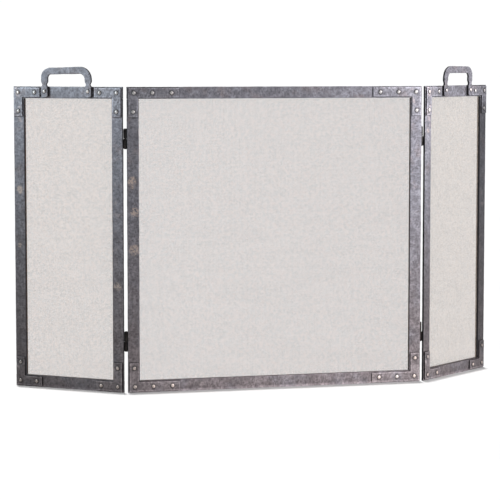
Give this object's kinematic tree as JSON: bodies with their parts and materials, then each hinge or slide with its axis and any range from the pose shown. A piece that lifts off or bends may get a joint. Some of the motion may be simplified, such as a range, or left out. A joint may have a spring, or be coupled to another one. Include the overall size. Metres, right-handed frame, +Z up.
{
  "type": "fireplace screen",
  "caption": "Folding fireplace screen of riveted hammered steel bar with wire mesh panels, hinged wings and a carrying handle on each wing.",
  "frame": {"origin": "middle of the underside of the centre panel's bottom rail, on the floor and in the middle of the bar's thickness", "axes": "+Z up; +X to the right of a person facing the front; +Y from the front towards the fire, the way the wings fold"},
  "size_m": [1.3558, 0.2232, 0.867],
  "materials": {
    "frame_bar": "hammered steel with a burnished gunmetal patina and bare, slightly rusty worn patches",
    "corner_plate": "hammered steel plate with a burnished gunmetal patina",
    "handle": "hand-forged steel bar with a burnished gunmetal patina",
    "handle_rivet": "burnished domed rivet head",
    "wire_mesh": "fine woven steel wire, dull",
    "mesh_strip": "dark lacquered flat steel strip",
    "hinge": "dark lacquered steel"
  },
  "bodies": {
    "centre_panel": {"centre_bottom_rail": "frame_bar", "centre_top_rail": "frame_bar", "centre_left_stile": "frame_bar", "centre_right_stile": "frame_bar", "centre_bottom_left_corner_plate": "corner_plate", "centre_bottom_right_corner_plate": "corner_plate", "centre_top_left_corner_plate": "corner_plate", "centre_top_right_corner_plate": "corner_plate", "centre_wire_mesh": "wire_mesh", "centre_bottom_mesh_strip": "mesh_strip", "centre_top_mesh_strip": "mesh_strip", "centre_left_mesh_strip": "mesh_strip", "centre_right_mesh_strip": "mesh_strip", "left_wing_upper_hinge_centre_knuckle": "hinge", "left_wing_upper_hinge_pin": "hinge", "left_wing_lower_hinge_centre_knuckle": "hinge", "left_wing_lower_hinge_pin": "hinge", "right_wing_upper_hinge_centre_knuckle": "hinge", "right_wing_upper_hinge_pin": "hinge", "right_wing_lower_hinge_centre_knuckle": "hinge", "right_wing_lower_hinge_pin": "hinge"},
    "left_wing": {"left_wing_bottom_rail": "frame_bar", "left_wing_top_rail": "frame_bar", "left_wing_inner_stile": "frame_bar", "left_wing_outer_stile": "frame_bar", "left_wing_bottom_inner_corner_plate": "corner_plate", "left_wing_bottom_outer_corner_plate": "corner_plate", "left_wing_top_inner_corner_plate": "corner_plate", "left_wing_top_outer_corner_plate": "corner_plate", "left_wing_wire_mesh": "wire_mesh", "left_wing_bottom_mesh_strip": "mesh_strip", "left_wing_top_mesh_strip": "mesh_strip", "left_wing_inner_mesh_strip": "mesh_strip", "left_wing_outer_mesh_strip": "mesh_strip", "left_wing_handle": "handle", "left_wing_handle_inner_rivet": "handle_rivet", "left_wing_handle_outer_rivet": "handle_rivet", "left_wing_upper_hinge_wing_knuckle": "hinge", "left_wing_lower_hinge_wing_knuckle": "hinge"},
    "right_wing": {"right_wing_bottom_rail": "frame_bar", "right_wing_top_rail": "frame_bar", "right_wing_inner_stile": "frame_bar", "right_wing_outer_stile": "frame_bar", "right_wing_bottom_inner_corner_plate": "corner_plate", "right_wing_bottom_outer_corner_plate": "corner_plate", "right_wing_top_inner_corner_plate": "corner_plate", "right_wing_top_outer_corner_plate": "corner_plate", "right_wing_wire_mesh": "wire_mesh", "right_wing_bottom_mesh_strip": "mesh_strip", "right_wing_top_mesh_strip": "mesh_strip", "right_wing_inner_mesh_strip": "mesh_strip", "right_wing_outer_mesh_strip": "mesh_strip", "right_wing_handle": "handle", "right_wing_handle_inner_rivet": "handle_rivet", "right_wing_handle_outer_rivet": "handle_rivet", "right_wing_upper_hinge_wing_knuckle": "hinge", "right_wing_lower_hinge_wing_knuckle": "hinge"}
  },
  "joints": [
    {"name": "left_wing_fold", "type": "hinge", "parent": "centre_panel", "child": "left_wing", "pos_m": [-0.4123, 0.0085, 0.4065], "axis": [0, 0, -1], "range_deg": [-39, 136]},
    {"name": "right_wing_fold", "type": "hinge", "parent": "centre_panel", "child": "right_wing", "pos_m": [0.4123, 0.0085, 0.4065], "axis": [0, 0, 1], "range_deg": [-39, 136]}
  ]
}
